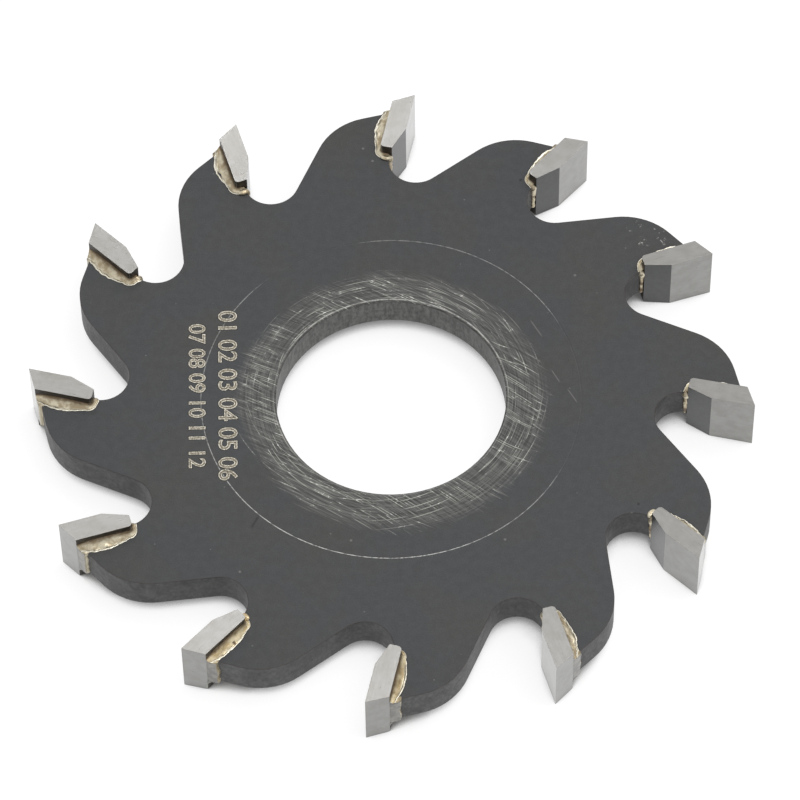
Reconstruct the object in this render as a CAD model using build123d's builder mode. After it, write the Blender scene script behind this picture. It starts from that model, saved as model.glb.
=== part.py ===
from build123d import *
from math import cos, hypot, isclose, radians, sin, tan
import os

# Slotting saw blade: a steel plate with a carbide tip brazed into the front of each tooth.
# The origin is the centre of the bore, at half the plate's thickness. +Z is the bore's axis.
# Tooth 1 has its cutting edge on +Y. The teeth are numbered and cut clockwise, seen from +Z.
# Lengths are in millimetres and angles in degrees.

# Whole blade
tooth_count = 12
cutting_diameter = 63.0
cutting_width = 6.0

# Plate
plate_thickness = 3.1
bore_diameter = 20.0
bore_chamfer = 0.15
scribed_circle_radius = 16.5
scribed_line_width = 0.1
scribed_line_depth = 0.02
gullet_depth = 8.63
gullet_radius = 2.45
gullet_rise = 40.5
shoulder_radius = 5.6
back_slope = 17.5
back_drop = 0.4

# Carbide tip: its rake face leans forward, its land and its two sides are relieved
tip_length = 6.0
tip_thickness = 1.86
rake_angle = 8.5
clearance_angle = 19.5
bevel_length = 2.2
bevel_depth = 0.8
tip_corner_radius = 0.35
side_relief_inward = 1.2
side_relief_backward = 4.0

# Seat that holds the tip, and the ledge under the tip's inner end
braze_gap = 0.1
ledge_width = 0.9

# Braze: a film in the gap, a fillet on each face of the plate and a bead on the tooth's back
fillet_width_outer = 0.5
fillet_width_middle = 1.0
fillet_width_inner = 0.55
fillet_width_ledge = 0.5
fillet_height_outer = 0.5
fillet_height_middle = 0.65
fillet_height_inner = 0.55
fillet_height_ledge = 0.35
fillet_hollow = 0.42
bead_length = 1.0
bead_radius = 0.15

# Derived sizes
cutting_radius = cutting_diameter / 2
tooth_pitch = 360 / tooth_count
seat_depth = tip_thickness + braze_gap
seat_length = tip_length + braze_gap
land_drop = tip_thickness * tan(radians(clearance_angle + rake_angle))
back_start = land_drop + back_drop


def on_tooth(inward, behind, height=0.0):
    """Point of tooth 1, measured from its cutting edge: down the rake face, and behind it."""
    lean = radians(rake_angle)
    return Vector(
        -inward * sin(lean) - behind * cos(lean),
        cutting_radius - inward * cos(lean) + behind * sin(lean),
        height,
    )


def crossing(point_a, direction_a, point_b, direction_b):
    """Point where two lines in the plane of the plate cross."""
    gap = point_b - point_a
    turn = direction_a.X * direction_b.Y - direction_a.Y * direction_b.X
    reach = (gap.X * direction_b.Y - gap.Y * direction_b.X) / turn
    return point_a + direction_a * reach


# Directions in the plane of the plate, on tooth 1
inward_direction = on_tooth(1, 0) - on_tooth(0, 0)
backward_direction = on_tooth(0, 1) - on_tooth(0, 0)
back_direction = Vector(-cos(radians(back_slope)), -sin(radians(back_slope)))
rise_direction = Vector(cos(radians(gullet_rise)), sin(radians(gullet_rise)))

# Gullet in front of tooth 1: a round floor, a wall up to the ledge and a straight rise
ledge_front = on_tooth(seat_length, seat_depth - ledge_width)
gullet_centre = Vector(ledge_front.X + gullet_radius, cutting_radius - gullet_depth + gullet_radius)
rise_start = gullet_centre + Vector(rise_direction.Y, -rise_direction.X) * gullet_radius
rise_end = rise_start + rise_direction * cutting_radius

# Back of tooth 1, and the corner that its shoulder rounds off
back_top = on_tooth(back_start, seat_depth)
last_rise_start = rise_start.rotate(Axis.Z, tooth_pitch)
last_rise_direction = rise_direction.rotate(Axis.Z, tooth_pitch)
shoulder_corner = crossing(back_top, back_direction, last_rise_start, last_rise_direction)

# The blank's edge runs along each back line, past both ends of what the gullets leave of it
back_line_front = back_top - back_direction * seat_depth
back_line_rear = shoulder_corner + back_direction * gullet_radius


def is_shoulder(vertex):
    """True for a corner of the plate's outline that lies where a shoulder is rounded."""
    return isclose(hypot(vertex.X, vertex.Y), hypot(shoulder_corner.X, shoulder_corner.Y), abs_tol=1e-4)


# Plate: ratchet-shaped blank, less the gullets and the seats
blank_corners = []
for tooth in range(tooth_count):
    turn = -tooth * tooth_pitch
    blank_corners.append(back_line_rear.rotate(Axis.Z, turn))
    blank_corners.append(back_line_front.rotate(Axis.Z, turn))

with BuildPart() as plate:
    with BuildSketch() as plate_outline:
        with BuildLine():
            Polyline(*blank_corners, close=True)
        make_face()
        with BuildSketch(mode=Mode.PRIVATE) as gullet:
            with BuildLine():
                Polyline(
                    gullet_centre - Vector(gullet_radius, 0),
                    rise_start,
                    rise_end,
                    Vector(ledge_front.X, rise_end.Y),
                    close=True,
                )
            make_face()
            with Locations(gullet_centre):
                Circle(gullet_radius)
        with BuildSketch(mode=Mode.PRIVATE) as seat:
            with BuildLine():
                Polyline(
                    on_tooth(-tip_length, seat_depth),
                    on_tooth(seat_length, seat_depth),
                    on_tooth(seat_length, -seat_depth),
                    on_tooth(-tip_length, -seat_depth),
                    close=True,
                )
            make_face()
            seat_corner = seat.vertices().sort_by_distance(on_tooth(seat_length, seat_depth))[0]
            fillet(seat_corner, tip_corner_radius + braze_gap)
        with PolarLocations(0, tooth_count):
            add(gullet.sketch, mode=Mode.SUBTRACT)
            add(seat.sketch, mode=Mode.SUBTRACT)
        fillet(plate_outline.vertices().filter_by(is_shoulder), shoulder_radius)
    extrude(amount=plate_thickness / 2, both=True)
    Hole(bore_diameter / 2)
    bore_edges = plate.edges().filter_by(GeomType.CIRCLE).filter_by(
        lambda edge: isclose(edge.radius, bore_diameter / 2) and isclose(edge.arc_center.X, 0, abs_tol=1e-6)
    )
    chamfer(bore_edges, bore_chamfer)
    # Fine circle scribed into the marked face, round the ring that the arbor's flange clamps
    with BuildSketch(Plane.XY.offset(plate_thickness / 2)):
        Circle(scribed_circle_radius + scribed_line_width / 2)
        Circle(scribed_circle_radius - scribed_line_width / 2, mode=Mode.SUBTRACT)
    extrude(amount=-scribed_line_depth, mode=Mode.SUBTRACT)
plate.part.label = "plate"


# Carbide tip of tooth 1, widest along its cutting edge
tip_corners = [
    on_tooth(0, 0),
    on_tooth(tip_length - bevel_length, 0),
    on_tooth(tip_length, bevel_depth),
    on_tooth(tip_length, tip_thickness),
    on_tooth(land_drop, tip_thickness),
]

with BuildPart() as tip:
    with BuildSketch(Plane.XY.offset(-cutting_width / 2)) as tip_outline:
        with BuildLine():
            Polyline(*tip_corners, close=True)
        make_face()
        seated_corner = tip_outline.vertices().sort_by_distance(tip_corners[3])[0]
        fillet(seated_corner, tip_corner_radius)
    extrude(amount=cutting_width)
    for side in (1, -1):
        fall = inward_direction * tan(radians(side_relief_inward))
        fall += backward_direction * tan(radians(side_relief_backward))
        flank = Plane(
            origin=on_tooth(0, 0, side * cutting_width / 2),
            z_dir=fall + Vector(0, 0, side),
        )
        split(bisect_by=flank, keep=Keep.BOTTOM)


def fillet_section(foot, outward, width, height):
    """Hollow section of the braze, standing on the plate's marked face against the tip."""
    upright = Plane(origin=foot, x_dir=outward, z_dir=outward.cross(Vector(0, 0, 1)))
    with BuildSketch(upright) as section:
        with BuildLine():
            Line((-braze_gap, -braze_gap), (width, -braze_gap))
            Line((width, -braze_gap), (width, 0))
            ThreePointArc((width, 0), (width * fillet_hollow, height * fillet_hollow), (0, height))
            Line((0, height), (-braze_gap, height))
            Line((-braze_gap, height), (-braze_gap, -braze_gap))
        make_face()
    return section.sketch


# Stations of the fillet behind the tip: how far down the tip, its width and its height
seat_stations = [
    (land_drop, fillet_width_outer, fillet_height_outer),
    (tip_length / 2, fillet_width_middle, fillet_height_middle),
    (tip_length - tip_corner_radius, fillet_width_inner, fillet_height_inner),
]
face_height = plate_thickness / 2
tip_corner_centre = on_tooth(tip_length - tip_corner_radius, tip_thickness - tip_corner_radius, face_height)

with BuildPart() as side_fillet:
    for inward, width, height in seat_stations:
        add(fillet_section(on_tooth(inward, tip_thickness, face_height), backward_direction, width, height))
    loft()
    # Round the tip's corner
    add(fillet_section(
        on_tooth(tip_length - tip_corner_radius, tip_thickness, face_height),
        backward_direction,
        fillet_width_inner,
        fillet_height_inner,
    ))
    revolve(axis=Axis(tip_corner_centre, (0, 0, 1)), revolution_arc=90)
    # Under the tip's inner end, out to the front of the ledge
    add(fillet_section(
        on_tooth(tip_length, tip_thickness - tip_corner_radius, face_height),
        inward_direction,
        fillet_width_inner,
        fillet_height_inner,
    ))
    add(fillet_section(
        on_tooth(tip_length, seat_depth - ledge_width, face_height),
        inward_direction,
        fillet_width_ledge,
        fillet_height_ledge,
    ))
    loft()

# Braze of tooth 1, ground with the land, so it ends in the land's plane
land_direction = Vector(-cos(radians(clearance_angle)), -sin(radians(clearance_angle)))
ground_plane = Plane(origin=on_tooth(0, 0), z_dir=land_direction.cross(Vector(0, 0, 1)))
land_corner = tip_corners[4]
bead_edge = land_corner + land_direction * bead_length
bead_foot = back_top + back_direction * (bead_length + braze_gap)

with BuildPart() as braze:
    with BuildSketch(Plane.XY.offset(-face_height)) as film:
        with BuildLine():
            Polyline(
                land_corner,
                tip_corners[3],
                on_tooth(tip_length, seat_depth - ledge_width),
                ledge_front,
                on_tooth(seat_length, seat_depth),
                on_tooth(land_drop, seat_depth),
                close=True,
            )
        make_face()
        fillet(film.vertices().sort_by_distance(tip_corners[3])[0], tip_corner_radius)
        outer_corner = film.vertices().sort_by_distance(on_tooth(seat_length, seat_depth))[0]
        fillet(outer_corner, tip_corner_radius + braze_gap)
        with BuildSketch(mode=Mode.PRIVATE) as bead:
            with BuildLine():
                Polyline(
                    land_corner,
                    bead_edge,
                    bead_foot,
                    back_top,
                    on_tooth(back_start, tip_thickness),
                    close=True,
                )
            make_face()
            fillet(bead.vertices().sort_by_distance(bead_edge)[0], bead_radius)
        add(bead.sketch)
    extrude(amount=plate_thickness)
    add(side_fillet.part)
    mirror(side_fillet.part, about=Plane.XY)
    split(bisect_by=ground_plane, keep=Keep.BOTTOM)
    add(tip.part, mode=Mode.SUBTRACT)
    add(plate.part, mode=Mode.SUBTRACT)

# One tip and one braze on every tooth
os.makedirs("parts", exist_ok=True)
export_step(plate.part, "parts/plate.step")
for tooth in range(tooth_count):
    turned = Location((0, 0, 0), (0, 0, -tooth * tooth_pitch))
    with BuildPart() as tooth_tip:
        with Locations(turned):
            add(tip.part)
    tooth_tip.part.label = f"tip_{tooth + 1:02d}"
    export_step(tooth_tip.part, f"parts/{tooth_tip.part.label}.step")
    with BuildPart() as tooth_braze:
        with Locations(turned):
            add(braze.part)
    tooth_braze.part.label = f"braze_{tooth + 1:02d}"
    export_step(tooth_braze.part, f"parts/{tooth_braze.part.label}.step")
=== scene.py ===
from functools import partial, reduce
from math import cos, pi, radians, sin, tan

import bmesh
import bpy
from mathutils import Matrix, Vector, noise


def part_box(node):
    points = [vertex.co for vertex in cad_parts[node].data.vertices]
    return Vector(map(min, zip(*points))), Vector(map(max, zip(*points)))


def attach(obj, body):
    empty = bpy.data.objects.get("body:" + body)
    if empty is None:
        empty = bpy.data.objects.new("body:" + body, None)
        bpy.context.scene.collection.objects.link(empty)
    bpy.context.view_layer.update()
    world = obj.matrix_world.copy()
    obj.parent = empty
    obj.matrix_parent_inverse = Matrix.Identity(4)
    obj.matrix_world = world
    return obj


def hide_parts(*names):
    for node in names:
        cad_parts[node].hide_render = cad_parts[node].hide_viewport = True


# Looks of the slotting saw blade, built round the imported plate, carbide tips and braze.
# Shapes are in metres, and materials measure places in millimetres.
# Tooth 1 has its cutting edge on +Y, and the teeth run clockwise from it.

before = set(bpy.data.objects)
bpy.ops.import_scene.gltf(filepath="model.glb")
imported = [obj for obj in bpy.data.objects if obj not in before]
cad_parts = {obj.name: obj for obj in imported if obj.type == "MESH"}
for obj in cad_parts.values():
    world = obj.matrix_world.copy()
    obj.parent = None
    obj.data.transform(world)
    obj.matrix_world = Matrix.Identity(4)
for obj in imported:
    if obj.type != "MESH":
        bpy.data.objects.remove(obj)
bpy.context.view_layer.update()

# Sizes read from the frame
mm = 0.001
plate_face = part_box("plate")[1].z
cutting_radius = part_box("tip_01")[1].y
floor_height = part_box("tip_01")[0].z
tooth_count = len([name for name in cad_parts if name.startswith("tip_")])
tooth_pitch = 2 * pi / tooth_count

# Sizes that the blade's own model has too
rake_angle = radians(8.5)
clearance_angle = radians(19.5)
bevel_angle = radians(20)
tip_length = 6.0 * mm
tip_thickness = 1.86 * mm
tip_corner_radius = 0.35 * mm
braze_gap = 0.1 * mm
ledge_width = 0.9 * mm
back_drop = 0.4 * mm
bore_radius = 10.0 * mm
scribed_circle_radius = 16.5 * mm
scribed_line_width = 0.1 * mm

seat_depth = tip_thickness + braze_gap
land_drop = tip_thickness * tan(clearance_angle + rake_angle)

# Directions of tooth 1, in the plane of the plate
inward = Vector((-sin(rake_angle), -cos(rake_angle), 0))
behind = Vector((-cos(rake_angle), sin(rake_angle), 0))
upward = Vector((0, 0, 1))
land_direction = Vector((-cos(clearance_angle), -sin(clearance_angle), 0))
land_normal = upward.cross(-land_direction)
bevel_normal = -behind * cos(bevel_angle) + inward * sin(bevel_angle)
cutting_edge = Vector((0, cutting_radius, 0))


def on_tooth(down, back, height=0.0):
    """Point of tooth 1, measured from its cutting edge: down the rake face, and behind it."""
    return cutting_edge + inward * down + behind * back + upward * height


# Sockets of a Mix node that mixes colours
mix_share = 0
mix_first = 6
mix_second = 7
mix_result = 2


class Finish:
    """A material and the nodes that make it, added by short calls."""

    def __init__(self, name):
        self.material = bpy.data.materials.new(name)
        self.material.use_nodes = True
        self.tree = self.material.node_tree
        self.tree.nodes.clear()
        self.coordinates = self.node("ShaderNodeTexCoord").outputs

    def node(self, kind, inputs=None, **settings):
        made = self.tree.nodes.new(kind)
        for name, value in settings.items():
            setattr(made, name, value)
        for name, value in (inputs or {}).items():
            self.feed(made.inputs[name], value)
        return made

    def feed(self, socket, value):
        if isinstance(value, bpy.types.NodeSocket):
            self.tree.links.new(value, socket)
        else:
            socket.default_value = value

    def number(self, operation, *values):
        """Math node on one, two or three numbers."""
        return self.node("ShaderNodeMath", dict(enumerate(values)), operation=operation).outputs[0]

    def product(self, *values):
        return reduce(partial(self.number, "MULTIPLY"), values)

    def total(self, *values):
        return reduce(partial(self.number, "ADD"), values)

    def most(self, *values):
        return reduce(partial(self.number, "MAXIMUM"), values)

    def less(self, value, taken):
        return self.number("SUBTRACT", value, taken)

    def scaled(self, value, factor, added):
        return self.number("MULTIPLY_ADD", value, factor, added)

    def size(self, value):
        """The value without its sign."""
        return self.number("ABSOLUTE", value)

    def vector(self, operation, *values, output="Vector"):
        """Vector Math node whose result is a vector."""
        made = self.node("ShaderNodeVectorMath", dict(enumerate(values)), operation=operation)
        return made.outputs[output]

    def measure(self, operation, *values):
        """Vector Math node whose result is a number."""
        return self.vector(operation, *values, output="Value")

    def millimetres(self):
        """The point's place on the part, in millimetres."""
        return self.vector("MULTIPLY", self.coordinates["Object"], (1 / mm, 1 / mm, 1 / mm))

    def parts(self, vector):
        return self.node("ShaderNodeSeparateXYZ", {"Vector": vector}).outputs

    def joined(self, x=0.0, y=0.0, z=0.0):
        return self.node("ShaderNodeCombineXYZ", {"X": x, "Y": y, "Z": z}).outputs["Vector"]

    def turn(self, vector, angle):
        inputs = {"Vector": vector, "Angle": angle}
        return self.node("ShaderNodeVectorRotate", inputs, rotation_type="Z_AXIS").outputs["Vector"]

    def cloud(self, place, scale, detail=3.0, rough=0.6):
        """Noise from 0 to 1: its scale, how many finer layers it has, and how rough they are."""
        inputs = {"Vector": place, "Scale": scale, "Detail": detail, "Roughness": rough}
        return self.node("ShaderNodeTexNoise", inputs).outputs["Fac"]

    def dots(self, place, scale, full, gone, strength=1.0):
        """Scattered round dots, full within one radius and gone at another, as shares of their spacing."""
        distance = self.node("ShaderNodeTexVoronoi", {"Vector": place, "Scale": scale}).outputs["Distance"]
        return self.between(distance, full, gone, strength, 0.0)

    def draw(self, vector, output):
        """Random number or colour of its own for every vector."""
        return self.node("ShaderNodeTexWhiteNoise", {"Vector": vector}).outputs[output]

    def between(self, value, low, high, start=0.0, end=1.0):
        """Runs smoothly from start to end as value goes from low to high."""
        inputs = {"Value": value, "From Min": low, "From Max": high, "To Min": start, "To Max": end}
        return self.node("ShaderNodeMapRange", inputs, interpolation_type="SMOOTHSTEP").outputs["Result"]

    def fade(self, value, full, gone):
        """1 up to full, and 0 from gone on."""
        return self.between(value, full, gone, 1.0, 0.0)

    def swing(self, cloud, reach, start=0.0, end=1.0):
        """Runs from start to end as a cloud crosses its middle, within reach on either side."""
        return self.between(cloud, 0.5 - reach, 0.5 + reach, start, end)

    def window(self, value, low, high, soft):
        """1 between low and high, with soft ends."""
        rise = self.between(value, low - soft, low + soft)
        return self.product(rise, self.fade(value, high - soft, high + soft))

    def mix(self, share, first, second):
        """Colour that goes from first to second."""
        made = self.node("ShaderNodeMix", data_type="RGBA")
        self.feed(made.inputs[mix_share], share)
        self.feed(made.inputs[mix_first], colour(first))
        self.feed(made.inputs[mix_second], colour(second))
        return made.outputs[mix_result]

    def shade(self, tint, share):
        """Tint made lighter or darker by a number about 1."""
        made = self.node("ShaderNodeMix", data_type="RGBA", blend_type="MULTIPLY")
        self.feed(made.inputs[mix_share], 1.0)
        self.feed(made.inputs[mix_first], colour(tint))
        self.feed(made.inputs[mix_second], self.joined(share, share, share))
        return made.outputs[mix_result]

    def faces(self, normal, direction, spread):
        """1 where the surface faces the direction, and 0 elsewhere."""
        agreement = self.measure("DOT_PRODUCT", normal, tuple(direction))
        return self.between(agreement, 1 - 2 * spread, 1 - spread)

    def rounded(self, radius, samples):
        """Normal of the surface as if its edges were rounded."""
        return self.node("ShaderNodeBevel", {"Radius": radius}, samples=samples).outputs["Normal"]

    def bump(self, height, depth, normal=None):
        inputs = {"Height": height, "Distance": depth, "Strength": 1.0}
        if normal is not None:
            inputs["Normal"] = normal
        return self.node("ShaderNodeBump", inputs).outputs["Normal"]

    def surface(self, **inputs):
        """Principled surface with the given inputs. It ends the material."""
        named = {name.replace("_", " "): value for name, value in inputs.items()}
        shader = self.node("ShaderNodeBsdfPrincipled", named).outputs[0]
        self.node("ShaderNodeOutputMaterial", {"Surface": shader})
        return self.material


def colour(value):
    """A linear colour as Blender's sockets want it."""
    return (*value, 1.0) if isinstance(value, tuple) and len(value) == 3 else value


def in_scene(name, data):
    """New object that holds the data."""
    made = bpy.data.objects.new(name, data)
    bpy.context.scene.collection.objects.link(made)
    return made


def finished(mesh, name, *materials):
    """Object made from a bmesh, with its materials."""
    data = bpy.data.meshes.new(name)
    mesh.to_mesh(data)
    mesh.free()
    for material in materials:
        data.materials.append(material)
    return in_scene(name, data)


# Plate

# Linear colours of the plate: dark and light shades where there are two
skin_shades = ((0.0560, 0.0552, 0.0535), (0.0508, 0.0540, 0.0592))
wall_shades = ((0.040, 0.041, 0.041), (0.089, 0.090, 0.089))
bore_shades = ((0.080, 0.080, 0.078), (0.165, 0.165, 0.16))
ring_steel = (0.094, 0.0945, 0.088)
rubbed_steel = (0.46, 0.455, 0.42)
# Painted glints on the bright scratches
glint_steel = (0.85, 0.84, 0.80)
# Bright rim of the bore: wear and painted highlight
rim_wear_and_highlight_steel = (0.58, 0.575, 0.55)
scribed_steel = (0.62, 0.62, 0.595)
scratch_steel = (0.14, 0.138, 0.13)
speck_steel = (0.26, 0.255, 0.24)
fleck_steel = (0.50, 0.49, 0.47)
pock_black = (0.018, 0.018, 0.018)
edge_brown = (0.105, 0.072, 0.06)

# Hair scratches: lanes side by side in 1 mm, a scratch's length, and how many lengths lanes are shifted by
lanes_per_mm = 6.6
scratch_length = 3.0
lane_shift = 9.0

# A hair scratch is full up to one value and gone at another: across its lane, along it, and past its reach
hair_sides = (0.08, 0.30)
hair_ends = (0.20, 0.5)
hair_reach = (-1.5, 0.1)

# Soft streaks: how cloudy they are along and across, and how the ring's ragged end and straight hairs run
streak_stretch = (0.16, 5.5, 1.0)
ragged_direction = -28.0
straight_direction = -24.0

# Centre and radius of the wide sweeps that cross the ring
wide_centre = (-36.0, -71.0)
wide_radius = 80.0

# Radius of the scratches that run round the bore, and their centres, some a little off the bore's own
close_radius = bore_radius / mm
bore_centre = (0.0, 0.0)
dark_centre = (-0.6, 0.4)
skewed_centre = (-2.2, 1.6)

# Radius at which the ring ends on the upper left and the lower right, and how much it gains on the left
ring_ends = (12.7, 13.5)
lower_right = (0.62, -0.78, 0.0)
left_widening = 0.6

# Arcs round the plate in degrees from +X: start, end and how soft the ends are
ring_left = (160.0, 205.0, 18.0)
# Arc where the painted highlight on the bore's rim is strongest
far_rim_highlight = (12.0, 150.0, 25.0)
scribed_arcs = ((34.0, 102.0, 5.0), (140.0, 333.0, 5.0))
deepest_arc = (215.0, 300.0, 35.0)

# Bright line on the bore's rim, wear and painted highlight: inner and outer radius, and how soft its sides
# are
rim_line = (10.12, 10.24, 0.04)

# How far beyond the bore its wall's colour fades
bore_fade = 0.3

# Where the way that a surface faces begins and stops to count, as the upright part of its normal
facing_range = (0.5, 0.8)

# Marks on the marked face: where they are, how wide a stroke is, and where a spot is full and gone
single_scratches = (
    ((11.7, 8.6), (12.7, 7.1)),
    ((13.8, 3.5), (14.5, 2.4)),
    ((15.3, 1.6), (16.1, 0.4)),
    ((10.6, -9.6), (8.2, -8.2)),
)
light_specks = (
    (-3.37, 25.01), (-4.32, 26.33), (-2.4, -14.9), (15.3, 13.7),
    (-11.6, -18.6), (21.37, -10.69), (10.7, -14.0),
)
dark_pocks = ((21.89, -9.74), (9.96, 23.72))
dark_scratch = ((-10.5, -13.0), (-10.95, -14.1))
knocked_places = ((20.1, 19.1), (20.8, 19.4), (22.5, 19.1), (21.1, 17.6), (22.9, 18.0))
scratch_width = 0.07
dark_scratch_width = 0.16
speck_radius = (0.06, 0.16)
pock_radius = (0.06, 0.18)
knocked_radius = (0.2, 0.75)

# Radius over which an edge of the plate is rounded, and the depth of its grain
plate_rounding = 0.14 * mm
plate_relief = 0.012 * mm


class PlateFinish(Finish):
    """Finish of the plate. Most of its calls lay one kind of mark over the tint they are given."""

    def __init__(self, name):
        super().__init__(name)
        self.place = self.millimetres()
        x, y, _ = self.parts(self.place)
        facing = self.parts(self.coordinates["Normal"])[2]
        degrees = self.product(self.number("ARCTAN2", y, x), 180 / pi)
        self.around = self.number("FLOORED_MODULO", degrees, 360.0)
        self.radius = self.measure("LENGTH", self.joined(x, y, 0.0))
        self.off_line = self.size(self.less(self.radius, scribed_circle_radius / mm))

        # Masks of the marked face, of both faces, of the cut edges and of the bore's wall
        self.face = self.between(facing, *facing_range)
        self.level = self.between(self.size(facing), *facing_range)
        self.wall = self.less(1.0, self.level)
        self.bore = self.product(self.fade(self.radius, close_radius, close_radius + bore_fade), self.wall)

        self.grain = self.cloud(self.place, 9.0, 2.0)
        self.mottle = self.cloud(self.vector("MULTIPLY", self.place, (1.0, 1.0, 0.8)), 2.6, 4.0, 0.65)

    def scratches(self, along, across, reach, seed, share):
        """Hair scratches in narrow lanes, each lane cut into lengths of which a share is scratched.

        They fade out where reach comes to 0, and some go on up to 1 mm beyond.
        """
        lane_place = self.product(across, lanes_per_mm)
        lane = self.number("FLOOR", lane_place)
        lane_draw = self.draw(self.joined(lane, seed, 0.0), "Value")
        length_place = self.scaled(lane_draw, lane_shift, self.number("DIVIDE", along, scratch_length))
        length = self.number("FLOOR", length_place)
        place_draw, depth_draw, reach_draw = self.parts(self.draw(self.joined(lane, length, seed), "Color"))
        depth = self.between(depth_draw, 1 - share, 1.0)
        lane_middle = self.scaled(place_draw, 0.6, 0.2)
        off_middle = self.size(self.less(self.less(lane_place, lane), lane_middle))
        from_half = self.size(self.less(self.less(length_place, length), 0.5))
        return self.product(
            self.fade(off_middle, *hair_sides),
            self.fade(from_half, *hair_ends),
            self.scaled(self.product(depth, depth), 0.8, self.product(depth, 0.2)),
            self.fade(self.less(reach, reach_draw), *hair_reach),
        )

    def in_patches(self, hairs, seed):
        """Scratches that show most in patches, which differ with the seed."""
        moved = self.vector("ADD", self.place, (seed * 9.1, seed * 5.3, 0.0))
        return self.product(hairs, self.between(self.cloud(moved, 0.3, 2.0, 0.5), 0.42, 0.56, 0.12, 1.0))

    def straight_scratches(self, direction, reach, seed, share):
        """Scratches in one direction, in degrees."""
        along, across, _ = self.parts(self.turn(self.place, -radians(direction)))
        across = self.scaled(self.cloud(self.place, 0.12, 1.0, 0.5), 2.0, across)
        return self.in_patches(self.scratches(along, across, reach, seed, share), seed)

    def round_lanes(self, centre, radius):
        """Way along and across the circles about a centre, true in length at one radius."""
        x, y, _ = self.parts(self.vector("SUBTRACT", self.place, (*centre, 0.0)))
        along = self.product(self.number("ARCTAN2", y, x), radius)
        across = self.measure("LENGTH", self.joined(x, y, 0.0))
        return along, across

    def round_scratches(self, centre, radius, reach, seed, share):
        """Scratches on circles about a centre."""
        along, across = self.round_lanes(centre, radius)
        return self.in_patches(self.scratches(along, across, reach, seed, share), seed)

    def streaks(self, way, seed):
        """Soft streaks, long in the way's first direction and narrow in its second."""
        stretched = self.vector("MULTIPLY", way, streak_stretch)
        return self.cloud(self.vector("ADD", stretched, (seed * 7.3, seed * 3.1, seed)), 1.0, 2.0, 0.7)

    def streaks_round(self, centre, radius, seed):
        """Soft streaks on circles about a centre."""
        along, across = self.round_lanes(centre, radius)
        return self.streaks(self.joined(along, across, 0.0), seed)

    def stroke(self, start, end, width):
        """One scratch from start to end."""
        run = Vector((*end, 0)) - Vector((*start, 0))
        length = run.length
        along_direction = run / length
        across_direction = upward.cross(along_direction)
        from_start = self.vector("SUBTRACT", self.place, (*start, 0.0))
        along = self.measure("DOT_PRODUCT", from_start, tuple(along_direction))
        across = self.size(self.measure("DOT_PRODUCT", from_start, tuple(across_direction)))
        return self.product(
            self.window(along, 0.0, length, length * 0.15),
            self.fade(across, width * 0.3, width),
        )

    def spots(self, centres, full, gone):
        """Round spots on the marked face, full within one radius and gone at another."""
        distances = (self.measure("DISTANCE", self.place, (*centre, plate_face / mm)) for centre in centres)
        return self.most(*(self.fade(distance, full, gone) for distance in distances))

    def skin(self):
        """Dull charcoal skin of both faces, with faint clouds and a fine grain."""
        tint = self.mix(self.swing(self.cloud(self.place, 0.16), 0.2), *skin_shades)
        tint = self.shade(tint, self.swing(self.grain, 0.25, 0.82, 1.18))
        return self.shade(tint, self.swing(self.cloud(self.place, 1.3), 0.2, 0.92, 1.08))

    def cut_edges(self, tint):
        """Mottled walls of the plate's outline, with darker blotches."""
        wall_tint = self.mix(self.swing(self.mottle, 0.2), *wall_shades)
        wall_tint = self.shade(wall_tint, self.swing(self.cloud(self.place, 0.7), 0.2, 0.66, 1.25))
        return self.mix(self.level, wall_tint, tint)

    def bore_wall(self, tint):
        """Bore's wall, brighter than the cut edges and a little streaked upright."""
        upright = self.cloud(self.vector("MULTIPLY", self.place, (3.4, 3.4, 0.7)), 1.0, 3.0, 0.65)
        worked = self.product(self.total(self.mottle, upright), 0.5)
        return self.mix(self.bore, tint, self.mix(self.swing(worked, 0.14), *bore_shades))

    def rubbed_ring(self, tint):
        """Ring rubbed bright round the bore, a little wider on the lower right and on the left."""
        lean = self.measure("DOT_PRODUCT", self.vector("NORMALIZE", self.place), lower_right)
        left_side = self.window(self.around, *ring_left)
        ring_end = self.scaled(left_side, left_widening, self.between(lean, -0.3, 0.8, *ring_ends))
        reach = self.less(self.radius, ring_end)

        # Grey of the ring, hatched by soft streaks that cross each other
        ragged_streaks = self.streaks(self.turn(self.place, -radians(ragged_direction)), seed=5.0)
        ragged = self.swing(ragged_streaks, 0.2, -0.4, 0.4)
        ring = self.product(self.fade(self.total(reach, ragged), -0.9, 0.7), self.face)
        wide_streaks = self.streaks_round(wide_centre, wide_radius, seed=1.0)
        close_streaks = self.streaks_round(bore_centre, close_radius, seed=2.0)
        hatch = self.product(self.total(wide_streaks, close_streaks), 0.5)
        ring_tint = self.shade(ring_steel, self.swing(hatch, 0.12, 0.45, 1.55))
        tint = self.mix(self.product(ring, 0.85), tint, ring_tint)

        # Dark scratches under bright ones
        dark_hairs = self.most(
            self.round_scratches(wide_centre, wide_radius, reach, seed=7.0, share=0.5),
            self.round_scratches(dark_centre, close_radius, reach, seed=8.0, share=0.5),
        )
        tint = self.shade(tint, self.scaled(self.product(dark_hairs, self.face), -0.6, 1.0))
        round_hairs = self.round_scratches(bore_centre, close_radius, reach, seed=4.0, share=0.5)
        hairs = self.most(
            self.round_scratches(wide_centre, wide_radius, reach, seed=1.0, share=0.66),
            self.straight_scratches(straight_direction, reach, seed=2.0, share=0.45),
            self.product(round_hairs, self.between(lean, 0.2, 0.8, 1.0, 0.4)),
            self.round_scratches(skewed_centre, close_radius, reach, seed=5.0, share=0.22),
        )
        rubbed = self.product(hairs, self.face)
        tint = self.mix(rubbed, tint, rubbed_steel)
        # Painted glints: near-white specks on the bright scratches
        glints = self.between(self.cloud(self.place, 3.0, 1.0, 0.5), 0.60, 0.68)
        return self.mix(self.product(rubbed, glints), tint, glint_steel), rubbed

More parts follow.
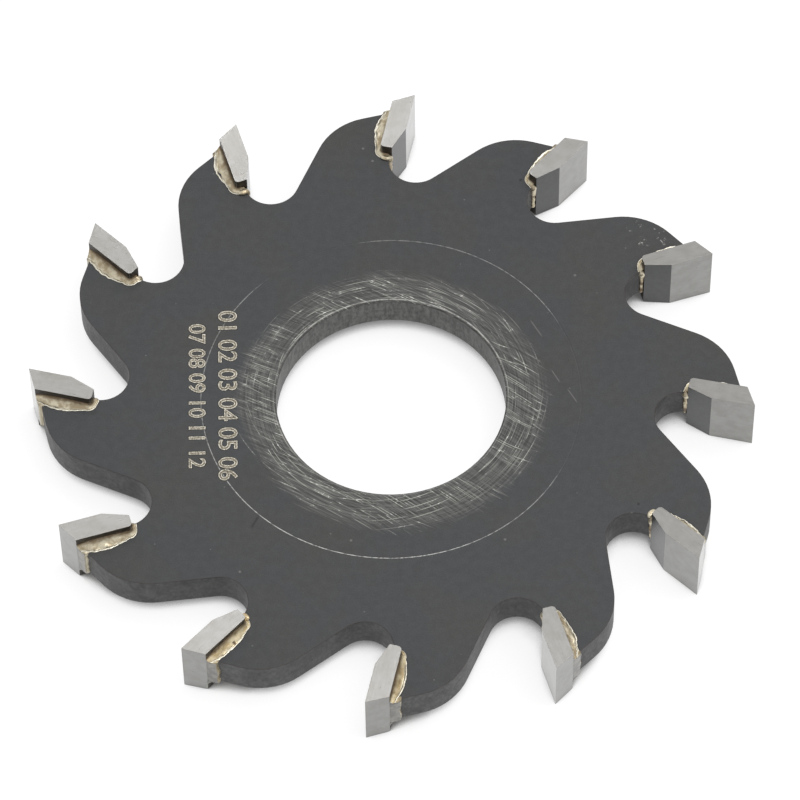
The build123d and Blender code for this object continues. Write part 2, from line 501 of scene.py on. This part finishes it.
    def rim_wear_and_highlight(self, tint):
        """Rim of the bore, rubbed bright, with a painted highlight that is strongest on its far side."""
        wear = self.between(self.cloud(self.place, 2.2, 3.0, 0.7), 0.35, 0.60, 0.3, 1.0)
        strength = self.product(wear, self.scaled(self.window(self.around, *far_rim_highlight), 0.75, 0.2))
        line = self.window(self.radius, *rim_line)
        return self.mix(self.product(line, self.face, strength), tint, rim_wear_and_highlight_steel)

    def scribed_circle(self, tint):
        """Circle scribed round the ring, worn away in two places, with painted light along its groove."""
        line_width = scribed_line_width / mm
        line = self.fade(self.off_line, line_width * 0.35, line_width * 0.6)
        arcs = self.most(*(self.window(self.around, *arc) for arc in scribed_arcs))
        broken = self.between(self.cloud(self.place, 2.6, 2.0, 0.5), 0.35, 0.6, 0.3, 1.0)
        strength = self.scaled(self.window(self.around, *deepest_arc), 0.6, 0.4)
        scribed = self.product(line, arcs, broken, strength, self.face)
        # Painted light along the whole groove, lifting the tint so that the groove's own shade does not
        # show where the line is worn away
        tint = self.shade(tint, self.scaled(self.product(line, self.face), 0.46, 1.0))
        return self.mix(scribed, tint, scribed_steel), scribed

    def small_marks(self, tint):
        """Single scratches, light specks and dark pocks."""
        single = self.most(*(self.stroke(start, end, scratch_width) for start, end in single_scratches))
        tint = self.mix(self.product(single, self.face), tint, scratch_steel)
        stray = self.dots(self.place, 0.5, 0.02, 0.05, 0.8)
        specks = self.most(self.spots(light_specks, *speck_radius), stray)
        tint = self.mix(self.product(specks, 0.5), tint, speck_steel)
        dark_stroke = self.product(self.stroke(*dark_scratch, dark_scratch_width), 0.7)
        pocks = self.most(self.spots(dark_pocks, *pock_radius), dark_stroke)
        return self.mix(self.product(pocks, self.face), tint, pock_black)

    def knocked_shoulder(self, tint):
        """Flecks knocked out of one tooth's shoulder."""
        flecks = self.between(self.cloud(self.place, 3.0, 3.0, 0.75), 0.585, 0.68)
        scuffs = self.product(self.spots(knocked_places, *knocked_radius), flecks, self.face)
        return self.mix(scuffs, tint, fleck_steel), scuffs

    def worn_edges(self, tint, rounded):
        """Brown line along the plate's edges, but not along the scribed circle."""
        true_normal = self.node("ShaderNodeNewGeometry").outputs["True Normal"]
        agreement = self.measure("DOT_PRODUCT", rounded, true_normal)
        edge = self.product(self.fade(agreement, 0.84, 0.985), self.between(self.off_line, 0.15, 0.3))
        wear = self.between(self.cloud(self.place, 1.2, 4.0, 0.7), 0.40, 0.62, 0.35, 0.95)
        return self.mix(self.product(edge, wear), tint, edge_brown)


def plate_steel():
    steel = PlateFinish("plate_steel")
    tint = steel.cut_edges(steel.skin())
    tint = steel.bore_wall(tint)
    tint, rubbed = steel.rubbed_ring(tint)
    tint = steel.rim_wear_and_highlight(tint)
    tint, scribed = steel.scribed_circle(tint)
    tint = steel.small_marks(tint)
    tint, scuffs = steel.knocked_shoulder(tint)
    rounded = steel.rounded(plate_rounding, 6)
    tint = steel.worn_edges(tint, rounded)

    bare = steel.most(rubbed, scribed, scuffs)
    rough = steel.swing(steel.grain, 0.3, 0.46, 0.54)
    cut_relief = steel.product(steel.mottle, steel.wall, 2.0)
    heights = steel.total(steel.product(steel.grain, 0.25), cut_relief)
    heights = steel.less(heights, steel.product(rubbed, 0.6))
    return steel.surface(
        Base_Color=tint,
        Roughness=steel.less(rough, steel.product(bare, 0.14)),
        Metallic=steel.product(steel.most(bare, steel.bore), 0.7),
        Specular_IOR_Level=0.45,
        Normal=steel.bump(heights, plate_relief, rounded),
    )


# Carbide tips

# Linear colours of the carbide: dark and light shades where there are two
side_shades = ((0.415, 0.402, 0.375), (0.46, 0.453, 0.435))
# Darker copy of the carbide, painted as shade on the upright faces
shaded_front_shades = ((0.234, 0.229, 0.217), (0.276, 0.274, 0.263))
pit_grey = (0.12, 0.115, 0.11)
# Darker grey of the bevel
dark_bevel_grey = (0.054, 0.055, 0.056)
# Flux stain and painted shade on the tip's back and inner end
flux_stain_and_shade = (0.030, 0.023, 0.017)

# Each tip takes its marks from another height of the same clouds, this far apart
tip_marks_apart = 11.0

# Radius over which an edge of a tip is rounded, and the depth of its grinding lines
tip_rounding = 0.025 * mm
tip_relief = 0.003 * mm

# Tooth 1 lies within half a pitch of this azimuth
middle_azimuth = pi / 2 + radians(3)


def tooth_frame(finish):
    """Place and normal as if the surface were on tooth 1, and how many teeth it is away from there."""
    place = finish.millimetres()
    x, y, _ = finish.parts(place)
    from_middle = finish.less(finish.number("ARCTAN2", y, x), middle_azimuth)
    steps = finish.number("ROUND", finish.number("DIVIDE", from_middle, tooth_pitch))
    angle = finish.product(steps, -tooth_pitch)
    return finish.turn(place, angle), finish.turn(finish.coordinates["Normal"], angle), steps


def ground_carbide():
    finish = Finish("ground_carbide")
    place, normal, steps = tooth_frame(finish)
    own_place = finish.vector("ADD", place, finish.joined(z=finish.product(steps, tip_marks_apart)))
    down = finish.measure("DOT_PRODUCT", own_place, tuple(inward))
    back = finish.measure("DOT_PRODUCT", own_place, tuple(behind))
    height = finish.parts(own_place)[2]

    # Ground faces: soft clouds and fine grinding lines, and painted shade, as the upright faces take a
    # darker copy of the carbide
    cool = finish.swing(finish.cloud(own_place, 0.9), 0.2)
    stretched = (finish.product(down, 0.7), finish.product(back, 7.0), finish.product(height, 7.0))
    lines = finish.cloud(finish.joined(*stretched), 1.0)
    side = finish.between(finish.size(finish.parts(normal)[2]), 0.8, 0.95)
    tint = finish.mix(side, finish.mix(cool, *shaded_front_shades), finish.mix(cool, *side_shades))
    tint = finish.shade(tint, finish.swing(lines, 0.25, 0.96, 1.04))

    # Small pits
    tint = finish.mix(finish.product(finish.dots(own_place, 0.85, 0.03, 0.075), 0.55), tint, pit_grey)

    # The bevel is darker, and the back and the inner end are darkened by flux stain and by painted shade
    bevel = finish.faces(normal, bevel_normal, spread=0.012)
    back_face = finish.faces(normal, behind, spread=0.15)
    inner_end = finish.faces(normal, inward, spread=0.2)
    darkened = finish.product(finish.most(back_face, inner_end), finish.less(1.0, bevel))
    skin = finish.cloud(own_place, 2.5)
    tint = finish.mix(bevel, tint, finish.shade(dark_bevel_grey, finish.swing(skin, 0.2, 0.9, 1.1)))
    tint = finish.mix(darkened, tint, finish.shade(flux_stain_and_shade, finish.swing(skin, 0.2, 0.6, 1.5)))

    rough = finish.swing(lines, 0.3, 0.27, 0.33)
    return finish.surface(
        Base_Color=tint,
        Roughness=finish.total(rough, finish.product(finish.most(bevel, darkened), 0.12)),
        Metallic=finish.between(darkened, 0.0, 1.0, 1.0, 0.2),
        Coat_Weight=finish.between(darkened, 0.0, 1.0, 0.8, 0.0),
        Coat_Roughness=0.12,
        Normal=finish.bump(lines, tip_relief, finish.rounded(tip_rounding, 4)),
    )


# Braze

# Linear colours of the braze: dark and light shades where there are two
gold_shades = ((0.50, 0.405, 0.265), (0.87, 0.79, 0.60))
# Lighter, warmer gold, painted as a reflection on teeth 7 and 8
reflection_gold_shades = ((0.68, 0.52, 0.28), (0.97, 0.84, 0.57))
pale_shades = ((0.18, 0.155, 0.105), (0.60, 0.55, 0.42))
ground_shades = ((0.150, 0.147, 0.138), (0.245, 0.236, 0.212))
# Brown painted as shade in the crease where the fillet meets the tip
brown_crease_shade = (0.17, 0.118, 0.068)
# Near-white painted highlight on the fillet's raised lip
lip_highlight = (0.93, 0.88, 0.75)
# Painted shadow at the fillet's foot, just outside its rim
foot_shadow = (0.035, 0.033, 0.030)

# Middle of teeth 7 and 8, whose braze takes a painted reflection in lighter, warmer gold, and how far that
# reflection reaches and fades
brightest_reflection_place = (-8.5, -29.0, 0.0)
reflection_reach = (10.0, 16.0)

# Where one colour goes over into the next, across the fillet from the tip at 0 to the rim at 1
crease_shade_to_gold = (0.0, 0.36)
gold_to_pale = (0.64, 0.78)
pale_to_lip_highlight = (0.82, 0.88)
lip_to_foot_shadow = (1.02, 1.08)

# Places across the fillet whose colours the beads and the foot take; the foot's colour is a painted shadow
gold_tone = 0.5
bead_tone = 0.6
pale_tone = 0.78
foot_shadow_tone = 1.2

# Depth of the braze's unevenness, as it flowed and as ground
flowed_relief = 0.045 * mm
ground_relief = 0.004 * mm


def brazing_brass():
    finish = Finish("brazing_brass")
    place = finish.millimetres()
    across = finish.node("ShaderNodeAttribute", attribute_name="across").outputs["Fac"]
    run = finish.node("ShaderNodeAttribute", attribute_name="run").outputs["Fac"]
    mottle = finish.cloud(place, 1.3)
    along_rim = finish.joined(finish.product(run, 1.6), finish.product(across, 4.0), finish.parts(place)[0])
    veins = finish.cloud(along_rim, 1.0)
    toward_rim = finish.total(across, finish.swing(veins, 0.2, -0.05, 0.05))

    patches = finish.swing(mottle, 0.14)
    # Painted reflection: lighter, warmer gold on teeth 7 and 8
    reflection_share = finish.fade(finish.measure("DISTANCE", place, brightest_reflection_place), *reflection_reach)
    gold = finish.mix(reflection_share, finish.mix(patches, *gold_shades), finish.mix(patches, *reflection_gold_shades))
    pale = finish.mix(finish.between(veins, 0.38, 0.58), *pale_shades)
    # Across the fillet: painted shade in the crease by the tip, gold, a pale band, a painted highlight on
    # the lip, and a painted shadow at the foot
    tint = finish.mix(finish.between(toward_rim, *crease_shade_to_gold), brown_crease_shade, gold)
    tint = finish.mix(finish.between(toward_rim, *gold_to_pale), tint, pale)
    tint = finish.mix(finish.between(toward_rim, *pale_to_lip_highlight), tint, lip_highlight)
    tint = finish.mix(finish.between(across, *lip_to_foot_shadow), tint, foot_shadow)
    heights = finish.total(mottle, finish.product(veins, 0.15))
    return finish.surface(
        Base_Color=tint,
        Roughness=finish.swing(mottle, 0.2, 0.30, 0.38),
        Metallic=0.65,
        Normal=finish.bump(heights, flowed_relief),
    )


def ground_braze():
    finish = Finish("ground_braze")
    place = finish.millimetres()
    lines = finish.cloud(finish.vector("MULTIPLY", place, (1.0, 1.0, 9.0)), 1.0)
    tint = finish.mix(finish.swing(finish.cloud(place, 1.6), 0.15), *ground_shades)
    return finish.surface(
        Base_Color=finish.shade(tint, finish.swing(lines, 0.2, 0.9, 1.08)),
        Roughness=0.36,
        Metallic=1.0,
        Coat_Weight=0.8,
        Coat_Roughness=0.15,
        Normal=finish.bump(lines, ground_relief),
    )


def ripple(seed, *place):
    """Smooth unevenness from -1 to 1, the same on every run."""
    return noise.noise(Vector((*place, 0, 0)[:3]) + Vector((seed * 13.7, seed * 5.1, seed * 2.9)))


def uneven(seed, place, waves):
    """A number about 1, made uneven by waves: each one's strength, shift of the seed and pace per mm."""
    return sum((strength * ripple(seed + shift, place * pace) for strength, shift, pace in waves), 1)


def peak(value, top, reach):
    """1 at the top, and down in straight slopes to 0 at a reach on either side."""
    return max(0.0, 1 - abs(value - top) / reach)


# Fillet: evenly spaced stations down the tip's back, round its corner and under its inner end, in mm
fillet_widths = (0.42, 0.58, 0.78, 0.92, 1.0, 1.0, 0.93, 0.82, 0.67, 0.52, 0.45, 0.55)
fillet_heights = (0.50, 0.58, 0.64, 0.66, 0.66, 0.66, 0.64, 0.60, 0.56, 0.52, 0.44, 0.36)

# How full each tooth's fillet is, in width and in height, from tooth 1 on
fillet_fullness = (1.04, 0.86, 0.90, 0.84, 0.92, 0.96, 0.83, 0.84, 0.93, 0.88, 1.06, 1.12)
fillet_rise = (0.6, 0.7, 0.8, 0.8, 0.8, 0.9, 1.05, 1.1, 1.0, 0.96, 0.9, 0.65)

# Waves of the fillet's width and height, and of its lip and of the dents in its hollow
width_waves = ((0.08, 0, 0.9), (0.10, 40, 2.2), (0.04, 0, 6.5))
height_waves = ((0.12, 80, 0.8),)
lip_waves = ((0.5, 0, 4.1),)
dent_depth = 0.32 * mm

# How hollow the fillet is, and how much its columns crowd toward the rim
hollowness = 1.9
column_spacing = 0.85

# Rim of the fillet: a raised lip, and a foot that is sunk into the plate
lip_height = 0.09 * mm
lip_place = 0.94
lip_reach = 0.09
foot_spread = 0.06 * mm
foot_sunk = 0.06 * mm
tip_overlap = 0.02 * mm

# Grid of the fillet: steps along it and across it, and how many columns go under it
along_steps = 110
across_steps = 20
columns_below = 5
columns_above = across_steps + 1 - columns_below

# How far the fillet runs past the land, to be cut level with it
fillet_overshoot = 0.6 * mm

# Painted shade of a notch across one tooth's fillet, the notch itself not modelled: its place and reach
# along the run in mm, and the tones it takes in
notched_tooth = 8
notch_run = 2.9
notch_reach = 0.3
notch_tones = (0.5, 0.9)


def station_value(values, share):
    """Value at a share of the way through evenly spaced stations, eased from one to the next."""
    place = min(max(share, 0.0), 1.0) * (len(values) - 1)
    first = min(int(place), len(values) - 2)
    part = place - first
    eased = part * part * (3 - 2 * part)
    return values[first] * (1 - eased) + values[first + 1] * eased


# Lengths of the fillet's path: down the tip's back, round its corner, and under its end up to the ledge
back_run = tip_length - land_drop - tip_corner_radius
corner_run = tip_corner_radius * pi / 2
end_run = tip_thickness - tip_corner_radius - (seat_depth - ledge_width)
fillet_run = back_run + corner_run + end_run


def fillet_path(distance):
    """Foot of the tip's side and its outward direction, at a distance along the tip from the land."""
    if distance < back_run:
        return on_tooth(land_drop + distance, tip_thickness), behind
    if distance < back_run + corner_run:
        angle = (distance - back_run) / tip_corner_radius
        outward = behind * cos(angle) + inward * sin(angle)
        centre = on_tooth(tip_length - tip_corner_radius, tip_thickness - tip_corner_radius)
        return centre + outward * tip_corner_radius, outward
    past = distance - back_run - corner_run
    return on_tooth(tip_length, tip_thickness - tip_corner_radius - past), inward


def fillet_section(column, width, height, seed, run):
    """Share across, way out and height of one column of the fillet: over its hollow, then back under it."""
    if column >= columns_above:
        below = (
            (width + foot_spread, -foot_sunk * 0.1),
            (width, -foot_sunk),
            (-tip_overlap, -foot_sunk),
            (-tip_overlap, height),
            (0.0, height),
        )
        # The first column under the rim takes the foot's painted shadow
        across = foot_shadow_tone if column == columns_above else 0.0
        return across, *below[column - columns_above]
    across = (column / (columns_above - 1)) ** column_spacing
    lip = lip_height * peak(across, lip_place, lip_reach) * uneven(seed, run, lip_waves)
    dents = dent_depth * ripple(seed + 9, run * 1.6, across * 2.5) * (1 - across) * across
    return across, width * across, height * (1 - across) ** hollowness + lip + dents


def add_fillet(mesh, tooth, side):
    """Hollow fillet of braze on one face of the plate, swept along the tip's back."""
    made = bmesh.ops.create_grid(mesh, x_segments=along_steps, y_segments=across_steps, size=0.5)
    across_layer = mesh.verts.layers.float["across"]
    run_layer = mesh.verts.layers.float["run"]
    seed = tooth * 2 + (side < 0)
    full_width = fillet_fullness[tooth - 1] * mm
    full_height = fillet_rise[tooth - 1] * mm
    darkened = tooth == notched_tooth and side > 0
    for vertex in made["verts"]:
        distance = (vertex.co.x + 0.5) * (fillet_run + fillet_overshoot) - fillet_overshoot
        column = round((vertex.co.y + 0.5) * across_steps)
        share = max(distance, 0.0) / fillet_run
        run = distance / mm
        width = station_value(fillet_widths, share) * full_width * uneven(seed, run, width_waves)
        height = station_value(fillet_heights, share) * full_height * uneven(seed, run, height_waves)
        across, out, up = fillet_section(column, width, height, seed, run)
        # Painted shade of the notch: tones there are pulled toward the crease's painted-shade brown
        if darkened and notch_tones[0] < across < notch_tones[1]:
            across *= 1 - peak(run, notch_run, notch_reach) ** 0.5
        vertex[across_layer] = across
        vertex[run_layer] = run
        base, outward = fillet_path(distance)
        vertex.co = base + outward * out + upward * side * (plate_face + up)


# How far the film ends below the land
film_lowered = 0.03 * mm


def add_film(mesh):
    """Thin film of braze between the tip and its seat."""
    outline = [
        on_tooth(land_drop, tip_thickness) - land_normal * film_lowered,
        on_tooth(tip_length - tip_corner_radius, tip_thickness),
        on_tooth(tip_length, tip_thickness - tip_corner_radius),
        on_tooth(tip_length, seat_depth - ledge_width),
        on_tooth(tip_length + braze_gap, seat_depth - ledge_width),
        on_tooth(tip_length + braze_gap, tip_thickness - tip_corner_radius),
        on_tooth(tip_length - tip_corner_radius, seat_depth),
        on_tooth(land_drop, seat_depth) - land_normal * film_lowered,
    ]
    corners = [mesh.verts.new(point - upward * plate_face) for point in outline]
    sheet = mesh.faces.new(corners)
    raised = bmesh.ops.extrude_face_region(mesh, geom=[sheet])["geom"]
    top = [item for item in raised if isinstance(item, bmesh.types.BMVert)]
    bmesh.ops.translate(mesh, verts=top, vec=upward * plate_face * 2)


# Bead on the tooth's back: its length, its height above the land and its depth, and its waves
back_bead_length = 1.05 * mm
back_bead_proud = 0.12 * mm
back_bead_depth = back_drop + 0.08 * mm
back_bead_past_plate = 0.02 * mm
back_bead_waves = ((0.14, 200, 1.4), (0.12, 0, 3))

# Its grid: steps across the plate and round the bead, and its flat, round and pale columns
plate_steps = 30
bead_steps = 14
last_flat = 4
last_round = 10
pale_columns = range(6, 10)
flat_share = 0.62


def add_back_bead(mesh, tooth):
    """Bead of braze on the tooth's back, with an uneven pale edge. It is cut level with the land later."""
    made = bmesh.ops.create_grid(mesh, x_segments=plate_steps, y_segments=bead_steps, size=0.5)
    across_layer = mesh.verts.layers.float["across"]
    corner = on_tooth(land_drop, tip_thickness)
    depth = back_bead_depth
    for vertex in made["verts"]:
        height = vertex.co.x * 2 * (plate_face + back_bead_past_plate)
        column = round((vertex.co.y + 0.5) * bead_steps)
        edge = back_bead_length * uneven(tooth, height / mm, back_bead_waves)
        if column <= last_flat:
            out, down = edge * column / last_flat * flat_share, -back_bead_proud
        elif column <= last_round:
            angle = (column - last_flat - 1) / (last_round - last_flat - 1) * pi / 2
            out = edge * flat_share + edge * (1 - flat_share) * sin(angle)
            down = -back_bead_proud + depth * 0.9 * (1 - cos(angle)) ** 0.8
        else:
            below = ((edge * 1.04, depth), (edge * 0.5, depth), (0.0, depth), (0.0, 0.0))
            out, down = below[column - last_round - 1]
        vertex[across_layer] = pale_tone if column in pale_columns else gold_tone
        vertex.co = corner + land_direction * out - land_normal * down + upward * height


# Drip under the tip's inner end: thickness and its variation in mm, place, and lump near the marked face
drip_thickness = 0.25
drip_variation = 0.06
drip_below_tip = 0.16 * mm
drip_before_ledge = 0.02 * mm
drip_past_face = 0.22 * mm
drip_waves = ((0.6, 60, 1.3), (0.25, 70, 3.5))
lump_height = 1.25 * mm
lump_reach = 0.55 * mm


def add_front_drip(mesh, tooth):
    """Uneven drip of braze that has run down under the tip's inner end, along the ledge."""
    thickness = (drip_thickness + drip_variation * ripple(tooth, 5.5)) * mm
    centre = on_tooth(tip_length + drip_below_tip, seat_depth - ledge_width - drip_before_ledge)
    made = bmesh.ops.create_uvsphere(mesh, u_segments=14, v_segments=22, radius=1.0)
    across_layer = mesh.verts.layers.float["across"]
    for vertex in made["verts"]:
        share = vertex.co.z
        height = share * (plate_face + drip_past_face)
        level = height / mm
        dents = 1 + 0.15 * ripple(tooth + 90, vertex.co.x * 2, vertex.co.y * 2, level * 2)
        lump = peak(height, lump_height, lump_reach) ** 0.7
        swell = uneven(tooth, level, drip_waves) * dents + 0.6 * lump
        # Straighter than a sphere, with blunt ends
        fullness = (1 - share ** 6) / max(0.2, (1 - share ** 2) ** 0.5)
        flat = Vector((vertex.co.x, vertex.co.y, 0)) * thickness * swell * fullness
        vertex[across_layer] = 0.2 + 0.5 * ripple(tooth, level * 2.5) + 0.3 * lump
        vertex.co = centre + flat + upward * height


# Teeth whose inner end carries a round bead on the marked face, the bead's radius, and its place
beaded_teeth = {1: 0.26 * mm, 5: 0.30 * mm, 8: 0.24 * mm, 12: 0.30 * mm}
bead_below_tip = 0.42 * mm
bead_behind_ledge = 0.25 * mm

# Distances within which the points of a mesh are merged
braze_merge = 0.0005 * mm
figure_merge = 0.0002 * mm


def add_bead(mesh, tooth):
    """Small round bead of braze, drawn out backward and flattened a little."""
    radius = beaded_teeth[tooth]
    back = seat_depth - ledge_width + bead_behind_ledge
    centre = on_tooth(tip_length + bead_below_tip, back, plate_face + radius * 0.55)
    made = bmesh.ops.create_icosphere(mesh, subdivisions=3, radius=radius)
    across_layer = mesh.verts.layers.float["across"]
    for vertex in made["verts"]:
        vertex[across_layer] = bead_tone
        swollen = vertex.co * (1 + 0.15 * ripple(tooth, *(vertex.co / radius * 1.5)))
        vertex.co = centre + swollen + behind * swollen.dot(behind) * 0.7 - upward * swollen.z * 0.4


def fill_open_edges(mesh):
    open_edges = [edge for edge in mesh.edges if edge.is_boundary]
    return bmesh.ops.holes_fill(mesh, edges=open_edges, sides=0)["faces"]


def braze_piece(tooth, brass, ground):
    """All the braze of one tooth, made on tooth 1, ground level with its land and turned to its place."""
    mesh = bmesh.new()
    mesh.verts.layers.float.new("across")
    mesh.verts.layers.float.new("run")
    for side in (1, -1):
        add_fillet(mesh, tooth, side)
    add_film(mesh)
    add_back_bead(mesh, tooth)
    bmesh.ops.remove_doubles(mesh, verts=mesh.verts, dist=braze_merge)
    fill_open_edges(mesh)
    everything = mesh.verts[:] + mesh.edges[:] + mesh.faces[:]
    bmesh.ops.bisect_plane(
        mesh, geom=everything, plane_co=cutting_edge, plane_no=land_normal, clear_outer=True
    )
    for flat in fill_open_edges(mesh):
        flat.material_index = 1
    add_front_drip(mesh, tooth)
    if tooth in beaded_teeth:
        add_bead(mesh, tooth)
    bmesh.ops.recalc_face_normals(mesh, faces=mesh.faces)
    for part in mesh.faces:
        part.smooth = part.material_index == 0
    turned = Matrix.Rotation(-(tooth - 1) * tooth_pitch, 3, "Z")
    bmesh.ops.rotate(mesh, verts=mesh.verts, cent=(0, 0, 0), matrix=turned)
    piece = finished(mesh, f"braze_fillets_{tooth:02d}", brass, ground)
    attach(piece, "root")
    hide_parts(f"braze_{tooth:02d}")


# Numbers etched on the marked face, in two rows beside the bore

# Rows: the words, the foot's start and end on the face, and the height of the figures
number_rows = (
    ("01 02 03 04 05 06", (-15.71 * mm, 8.02 * mm), (-14.15 * mm, -9.51 * mm), 1.56 * mm),
    ("07 08 09 10 11 12", (-18.16 * mm, 6.45 * mm), (-16.83 * mm, -8.42 * mm), 1.38 * mm),
)

# Bright line round each figure, and the dark halo outside it: radius, flatness and lift off the face
line_radius = 0.055 * mm
line_flatness = 0.12
line_lift = 0.004 * mm
halo_radius = 0.10 * mm
halo_flatness = 0.025
halo_lift = 0.0008 * mm

# Slots of the figures' materials
line_slot, ground_slot, rim_slot = range(3)


def etched_finish(name, scale, rough, contrast, shades, **gloss):
    """Blotched finish of one part of the figures."""
    finish = Finish(name)
    wear = finish.cloud(finish.millimetres(), scale, 3.0, rough)
    return finish.surface(Base_Color=finish.mix(finish.swing(wear, contrast), *shades), **gloss)


def etched_line():
    shades = ((0.30, 0.265, 0.20), (0.86, 0.82, 0.71))
    return etched_finish("etched_line", 6.5, 0.7, 0.14, shades, Roughness=0.55, Metallic=0.3)


def etched_ground():
    shades = ((0.11, 0.095, 0.068), (0.36, 0.32, 0.24))
    return etched_finish("etched_ground", 5.5, 0.7, 0.12, shades, Roughness=0.6, Metallic=0.2)


def etched_rim():
    shades = ((0.016, 0.015, 0.013), (0.034, 0.032, 0.029))
    return etched_finish("etched_rim", 4.0, 0.65, 0.15, shades, Roughness=0.6)


def letter_mesh(words, outline):
    """Flat mesh of the words at size 1, filled or as an outline of that depth."""
    text = bpy.data.curves.new("letters", "FONT")
    text.body = words
    text.resolution_u = 5
    text.space_word = 0.9
    if outline:
        text.fill_mode = "NONE"
        text.bevel_depth = outline
        text.bevel_resolution = 1
    shape = in_scene("letters", text)
    bpy.context.view_layer.update()
    evaluated = shape.evaluated_get(bpy.context.evaluated_depsgraph_get())
    made = bpy.data.meshes.new_from_object(evaluated)
    bpy.data.objects.remove(shape)
    return made


def number_row(mesh, words, start, end, letter_height):
    """A row of plain numbers on the marked face, read from start to end along its foot."""
    reading = Vector((*end, 0)) - Vector((*start, 0))
    letter_top = upward.cross(reading).normalized()
    filled = letter_mesh(words, 0.0)
    width = max(vertex.co.x for vertex in filled.vertices)
    height = max(vertex.co.y for vertex in filled.vertices)
    outline = letter_mesh(words, line_radius / letter_height * height)
    halo = letter_mesh(words, halo_radius / letter_height * height)
    across, up = reading / width, letter_top * letter_height / height
    for data, slot, flatness, lift in (
        (filled, ground_slot, 0.0, line_lift),
        (outline, line_slot, line_flatness, line_lift),
        (halo, rim_slot, halo_flatness, halo_lift),
    ):
        rise = upward * flatness * up.length
        place = Matrix((across, up, rise)).transposed().to_4x4()
        place.translation = Vector((*start, plate_face + lift))
        data.transform(place)
        before = set(mesh.faces)
        mesh.from_mesh(data)
        for part in set(mesh.faces) - before:
            part.material_index = slot
        bpy.data.meshes.remove(data)


def etched_numbers():
    mesh = bmesh.new()
    for words, start, end, height in number_rows:
        number_row(mesh, words, start, end, height)
    bmesh.ops.remove_doubles(mesh, verts=mesh.verts, dist=figure_merge)
    piece = finished(mesh, "etched_numbers", etched_line(), etched_ground(), etched_rim())
    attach(piece, "root")


def dress_blade():
    """Materials on the CAD's plate and tips, and the pieces that are made here."""
    brass = brazing_brass()
    ground = ground_braze()
    steel = plate_steel()
    carbide = ground_carbide()
    for name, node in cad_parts.items():
        if name == "plate" or name.startswith("tip_"):
            node.data.materials.clear()
            node.data.materials.append(steel if name == "plate" else carbide)
    for tooth in range(1, tooth_count + 1):
        braze_piece(tooth, brass, ground)
    etched_numbers()


# Camera, measured from the photograph: the corners of the tips and the bore's rim fix it
camera_elevation = radians(56.6742)
camera_distance = 460.155 * mm
camera_roll = radians(1.071)
camera_turn = radians(4.7645)
camera_right = 0.7633 * mm
camera_up = 0.5145 * mm
lens_length = 237.953
sensor_width = 36.0


def place_camera():
    backward = Vector((0, -cos(camera_elevation), sin(camera_elevation)))
    up = Vector((0, sin(camera_elevation), cos(camera_elevation)))
    right = Vector((1, 0, 0))
    rolled_right = right * cos(camera_roll) - up * sin(camera_roll)
    rolled_up = right * sin(camera_roll) + up * cos(camera_roll)
    standpoint = rolled_right * camera_right + rolled_up * camera_up + backward * camera_distance
    axes = Matrix((rolled_right, rolled_up, backward)).transposed().to_4x4()
    turned = Matrix.Rotation(camera_turn, 4, "Z")
    camera = in_scene("camera", bpy.data.cameras.new("camera"))
    camera.data.lens = lens_length
    camera.data.sensor_width = sensor_width
    camera.data.clip_start = 0.01
    camera.data.clip_end = 20.0
    camera.matrix_world = turned @ Matrix.Translation(standpoint) @ axes
    bpy.context.scene.camera = camera


# Floor: its size, its greys for the camera and for the light, and its glow in the shadow and in the open
floor_size = 6.0
seen_grey = (0.25, 0.25, 0.25, 1.0)
lit_grey = (0.88, 0.88, 0.88, 1.0)
pure_white = (1.0, 1.0, 1.0, 1.0)
shadow_glow = 0.07
floor_glow = 0.84
near_reach = 3.0 * mm


def white_floor():
    """Pale floor that the camera sees as white, with the object's soft shadow on it: real in its grey part,
    and painted where its glow fades near the object.
    """
    finish = Finish("white_floor")
    path = finish.node("ShaderNodeLightPath").outputs
    open_air = finish.node("ShaderNodeAmbientOcclusion", {"Distance": near_reach}, samples=16).outputs["AO"]
    # Painted contact shadow: the glow fades where ambient occlusion finds the object near
    strength = finish.between(open_air, 0.28, 0.62, shadow_glow, floor_glow)
    seen = finish.node("ShaderNodeBsdfDiffuse", {"Color": seen_grey}).outputs[0]
    glow = finish.node("ShaderNodeEmission", {"Color": pure_white, "Strength": strength}).outputs[0]
    white = finish.node("ShaderNodeAddShader", {0: seen, 1: glow}).outputs[0]
    plain = finish.node("ShaderNodeBsdfDiffuse", {"Color": lit_grey}).outputs[0]
    looked_at = finish.most(path["Is Camera Ray"], path["Is Glossy Ray"], path["Is Transmission Ray"])
    choice = finish.node("ShaderNodeMixShader", {0: looked_at, 1: plain, 2: white}).outputs[0]
    finish.node("ShaderNodeOutputMaterial", {"Surface": choice})
    return finish.material


def lay_floor():
    mesh = bmesh.new()
    bmesh.ops.create_grid(mesh, x_segments=1, y_segments=1, size=floor_size / 2)
    bmesh.ops.translate(mesh, verts=mesh.verts, vec=(0, 0, floor_height))
    floor = finished(mesh, "floor", white_floor())


# Room and lamps, found from the tones of the twelve ground sides in the photograph.
# Each lamp: direction from the blade, radius at 1 m, and how much brighter it is than white.
room_light = 0.596
lamps = {
    "left_lamp": ((-0.271, 0.568, 0.777), 0.08, 6.0),
    "top_lamp": ((0.352, 0.162, 0.922), 0.389, 2.66),
}


def light_room():
    """Even white room, with a small lamp high behind the blade and a large soft one above it."""
    world = bpy.data.worlds.new("studio")
    bpy.context.scene.world = world
    world.use_nodes = True
    background = world.node_tree.nodes["Background"]
    background.inputs["Color"].default_value = pure_white
    background.inputs["Strength"].default_value = room_light
    for name, (direction, radius, brightness) in lamps.items():
        lamp = bpy.data.lights.new(name, "AREA")
        lamp.shape = "DISK"
        lamp.size = radius * 2
        lamp.energy = brightness * pi * pi * radius ** 2
        holder = in_scene(name, lamp)
        holder.location = Vector(direction).normalized()
        holder.rotation_euler = holder.location.to_track_quat("Z", "Y").to_euler()


dress_blade()
place_camera()
lay_floor()
light_room()
bpy.context.scene.view_settings.view_transform = "Standard"
